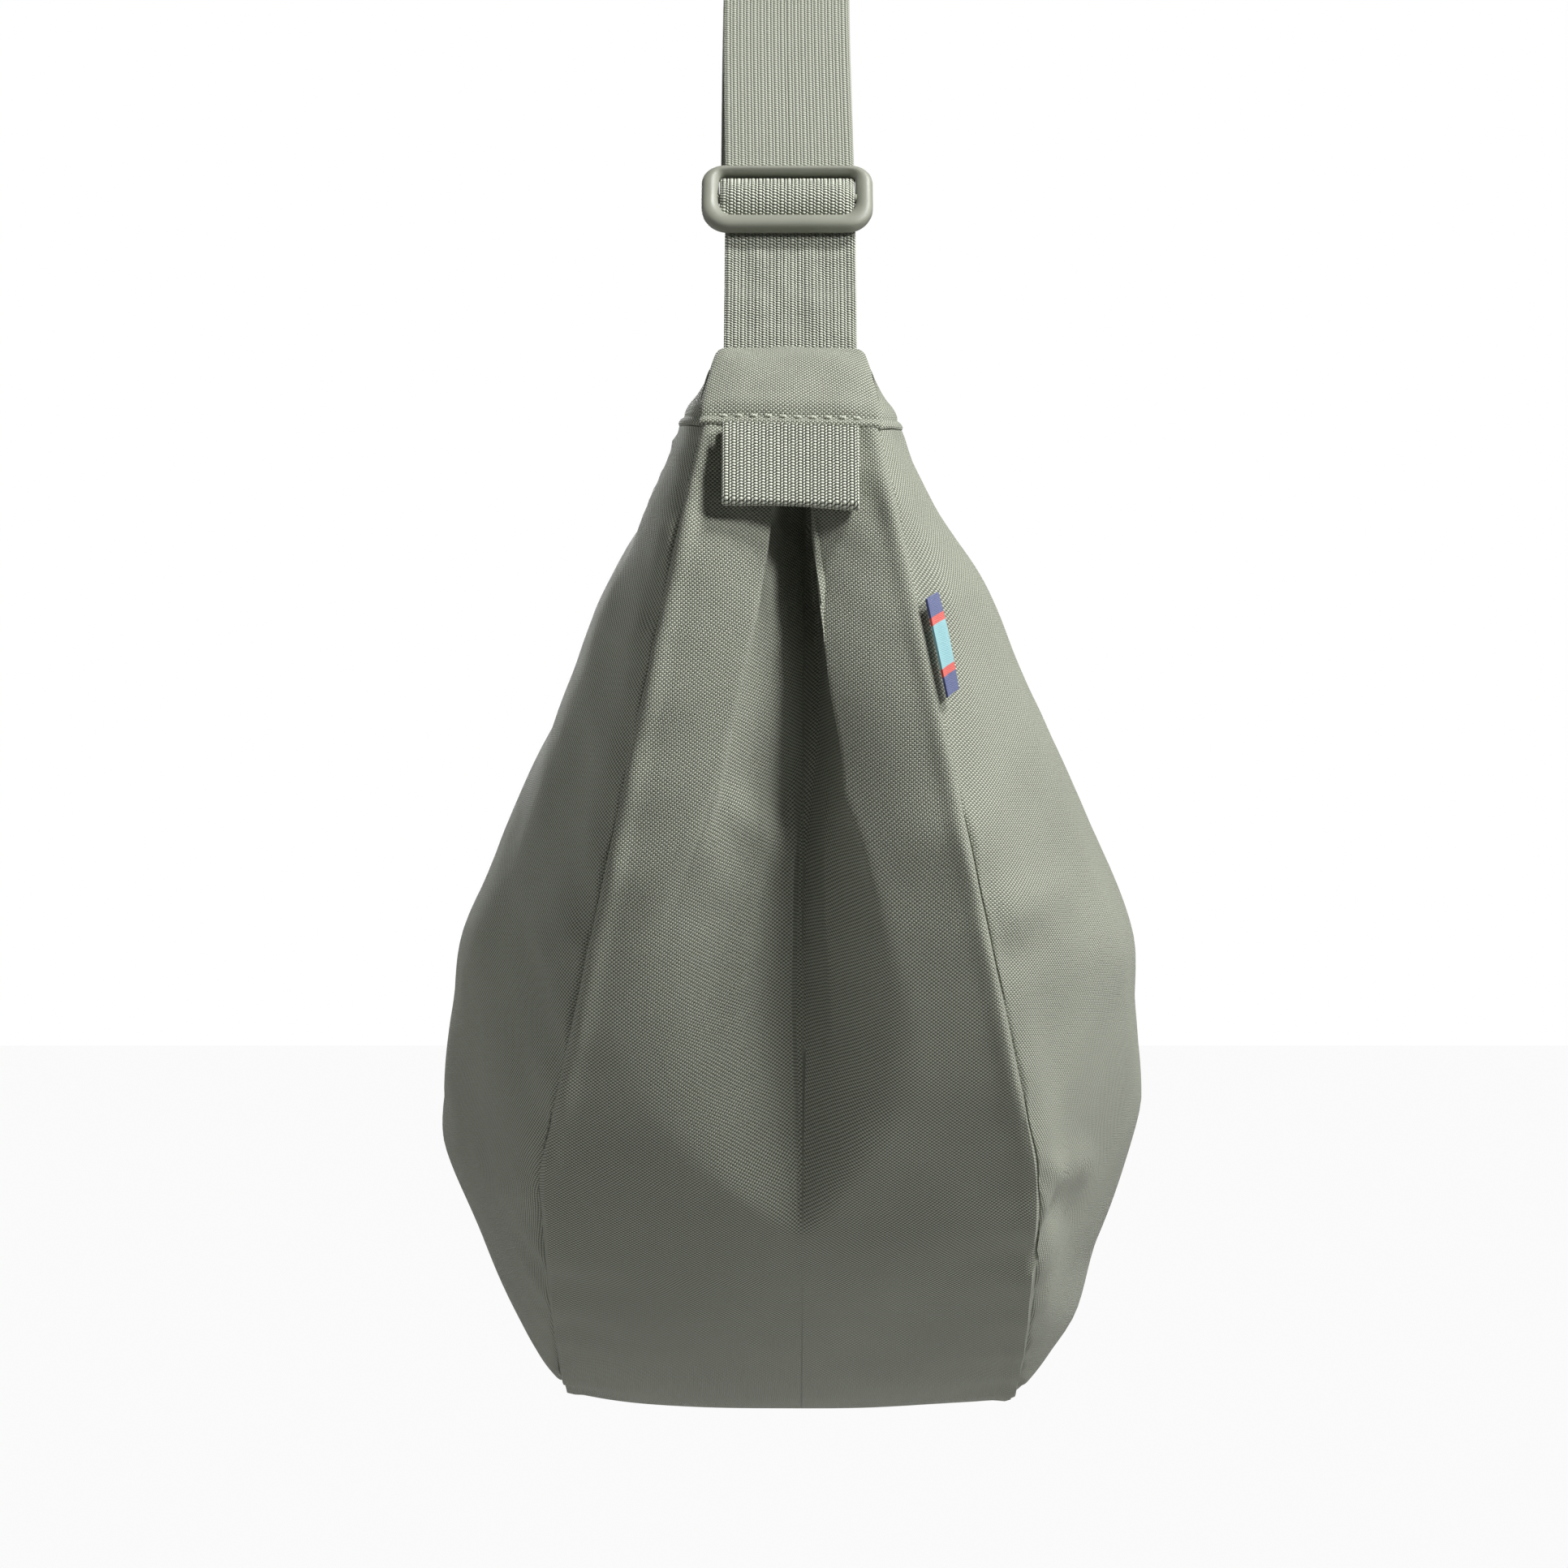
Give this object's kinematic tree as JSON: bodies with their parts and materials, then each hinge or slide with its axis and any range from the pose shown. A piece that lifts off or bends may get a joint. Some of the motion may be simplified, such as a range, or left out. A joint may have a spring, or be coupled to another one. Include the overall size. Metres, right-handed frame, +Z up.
{
  "type": "half moon bag",
  "caption": "Crescent shoulder bag in plain fabric with a curved top zip, stitched end caps, a webbing strap with a slide adjuster and a pleated base strip.",
  "frame": {"origin": "inner face of the strap at its highest point, where a hand or hook carries it", "axes": "+Z up, Y along the bag from the adjuster end (-Y) to the ring end (+Y), +X towards the panel with the side label"},
  "size_m": [0.2322, 0.4632, 0.6131],
  "materials": {
    "shell_fabric": "fine plain weave, slight sheen",
    "lining_fabric": "matte",
    "webbing": "ribbed weave",
    "moulding": "satin",
    "zip_tape": "matte",
    "zip_coil": "satin",
    "zip_metal": "satin",
    "thread": "matte",
    "label": "woven"
  },
  "bodies": {
    "strap": {"strap_webbing": "webbing", "strap_root_webbing": "webbing", "far_ring": "moulding", "far_ring_loop": "webbing"},
    "bag": {"front_panel": "shell_fabric", "rear_panel": "shell_fabric", "base_gusset": "shell_fabric", "front_lining": "lining_fabric", "rear_lining": "lining_fabric", "base_lining": "lining_fabric", "near_cap_face": "shell_fabric", "near_cap_front_side": "shell_fabric", "near_cap_rear_side": "shell_fabric", "far_cap_face": "shell_fabric", "far_cap_front_side": "shell_fabric", "far_cap_rear_side": "shell_fabric", "near_hem_stitches": "thread", "far_hem_stitches": "thread", "front_zip_tape": "zip_tape", "rear_zip_tape": "zip_tape", "front_zip_coil": "zip_coil", "rear_zip_coil": "zip_coil", "near_zip_stop": "zip_metal", "far_zip_stop": "zip_metal", "side_label": "label"},
    "adjuster": {"adjuster_frame": "moulding", "adjuster_webbing_turn": "webbing"},
    "near_tab": {"near_tab": "webbing"},
    "far_tab": {"far_tab": "webbing"},
    "zip_slider": {"zip_slider": "zip_metal"},
    "zip_puller": {"zip_puller": "zip_metal"}
  },
  "joints": [
    {"name": "bag_swing", "type": "hinge", "parent": "strap", "child": "bag", "pos_m": [0, 0, -0.282], "axis": [0, 1, 0], "range_deg": [-60, 60], "deforming": ["strap_root_webbing", "far_ring_loop"]},
    {"name": "adjuster_slide", "type": "slide", "parent": "strap", "child": "adjuster", "axis": [0, 0.5101, 0.8601], "range_m": [-0.015, 0.21]},
    {"name": "near_tab_hinge", "type": "hinge", "parent": "bag", "child": "near_tab", "pos_m": [0, -0.22364, -0.30482], "axis": [-1, 0, 0], "range_deg": [0, 110]},
    {"name": "far_tab_hinge", "type": "hinge", "parent": "bag", "child": "far_tab", "pos_m": [0, 0.22364, -0.30482], "axis": [1, 0, 0], "range_deg": [0, 110]},
    {"name": "zip_run", "type": "hinge", "parent": "bag", "child": "zip_slider", "pos_m": [0, 0, -0.16137], "axis": [1, 0, 0], "range_deg": [-88.28, 0]},
    {"name": "zip_puller_hinge", "type": "hinge", "parent": "zip_slider", "child": "zip_puller", "pos_m": [0, 0.14676, -0.31259], "axis": [-1, 0, 0], "range_deg": [0, 150]}
  ]
}
